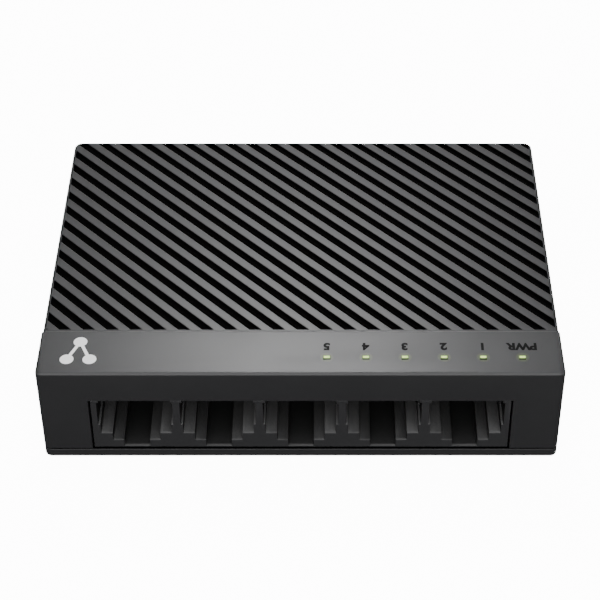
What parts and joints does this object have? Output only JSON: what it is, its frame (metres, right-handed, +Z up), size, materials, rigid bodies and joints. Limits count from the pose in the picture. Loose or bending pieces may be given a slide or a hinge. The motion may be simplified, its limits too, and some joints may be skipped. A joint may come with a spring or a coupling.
{
  "type": "desktop network switch",
  "caption": "Low black desktop network switch with a diagonally ribbed top, a row of sunken network sockets along the front and status lamps above them.",
  "frame": {"origin": "middle of the switch's outline, on the surface its rubber feet stand on", "axes": "+X right as seen by someone looking into the sockets, +Y back, away from the sockets, +Z up"},
  "size_m": [0.0878, 0.065, 0.02],
  "materials": {
    "case_black": "satin",
    "tray_black": "matte",
    "jack_black": "satin",
    "board_green": "gloss",
    "gold_plate": "polished",
    "tin_plate": "satin",
    "aluminium_can": "satin",
    "zinc_steel": "satin",
    "chip_black": "matte",
    "ferrite": "matte",
    "lamp_white": "gloss",
    "guide_clear": "gloss",
    "foot_rubber": "matte",
    "label_silver": "satin"
  },
  "bodies": {
    "case": {"top_cover": "case_black", "base_tray": "tray_black", "jack_block": "jack_black", "circuit_board": "board_green", "light_guide": "guide_clear", "switch_chip": "chip_black", "memory_chip": "chip_black", "voltage_regulator": "chip_black", "surge_diode": "chip_black", "power_choke": "ferrite", "crystal": "zinc_steel", "capacitor_input": "aluminium_can", "capacitor_output": "aluminium_can", "power_jack": "jack_black", "power_jack_pin": "tin_plate", "rating_label": "label_silver", "case_screw_left": "zinc_steel", "case_screw_right": "zinc_steel", "board_screw_left": "zinc_steel", "board_screw_right": "zinc_steel", "foot_front_left": "foot_rubber", "foot_front_right": "foot_rubber", "foot_back_left": "foot_rubber", "foot_back_right": "foot_rubber", "lamp_power": "lamp_white", "lamp_1": "lamp_white", "lamp_2": "lamp_white", "lamp_3": "lamp_white", "lamp_4": "lamp_white", "lamp_5": "lamp_white", "port_1_insert": "jack_black", "magnetics_1": "chip_black", "port_2_insert": "jack_black", "magnetics_2": "chip_black", "port_3_insert": "jack_black", "magnetics_3": "chip_black", "port_4_insert": "jack_black", "magnetics_4": "chip_black", "port_5_insert": "jack_black", "magnetics_5": "chip_black"},
    "port_1_springs": {"port_1_springs": "gold_plate"},
    "port_2_springs": {"port_2_springs": "gold_plate"},
    "port_3_springs": {"port_3_springs": "gold_plate"},
    "port_4_springs": {"port_4_springs": "gold_plate"},
    "port_5_springs": {"port_5_springs": "gold_plate"},
    "power_jack_leaf": {"power_jack_leaf": "tin_plate"}
  },
  "joints": [
    {"name": "port_1_spring", "type": "hinge", "parent": "case", "child": "port_1_springs", "pos_m": [0.02794, -0.0293, 0.0136], "axis": [1, 0, 0], "range_deg": [0, 15], "stiffness_Nm_per_rad": 0.15, "springref_deg": -5.73},
    {"name": "port_2_spring", "type": "hinge", "parent": "case", "child": "port_2_springs", "pos_m": [0.01397, -0.0293, 0.0136], "axis": [1, 0, 0], "range_deg": [0, 15], "stiffness_Nm_per_rad": 0.15, "springref_deg": -5.73},
    {"name": "port_3_spring", "type": "hinge", "parent": "case", "child": "port_3_springs", "pos_m": [0, -0.0293, 0.0136], "axis": [1, 0, 0], "range_deg": [0, 15], "stiffness_Nm_per_rad": 0.15, "springref_deg": -5.73},
    {"name": "port_4_spring", "type": "hinge", "parent": "case", "child": "port_4_springs", "pos_m": [-0.01397, -0.0293, 0.0136], "axis": [1, 0, 0], "range_deg": [0, 15], "stiffness_Nm_per_rad": 0.15, "springref_deg": -5.73},
    {"name": "port_5_spring", "type": "hinge", "parent": "case", "child": "port_5_springs", "pos_m": [-0.02794, -0.0293, 0.0136], "axis": [1, 0, 0], "range_deg": [0, 15], "stiffness_Nm_per_rad": 0.15, "springref_deg": -5.73},
    {"name": "power_leaf_spring", "type": "hinge", "parent": "case", "child": "power_jack_leaf", "pos_m": [0.03328, 0.0055, 0.00865], "axis": [0, 1, 0], "range_deg": [0, 8], "stiffness_Nm_per_rad": 0.1, "springref_deg": -2.86}
  ]
}
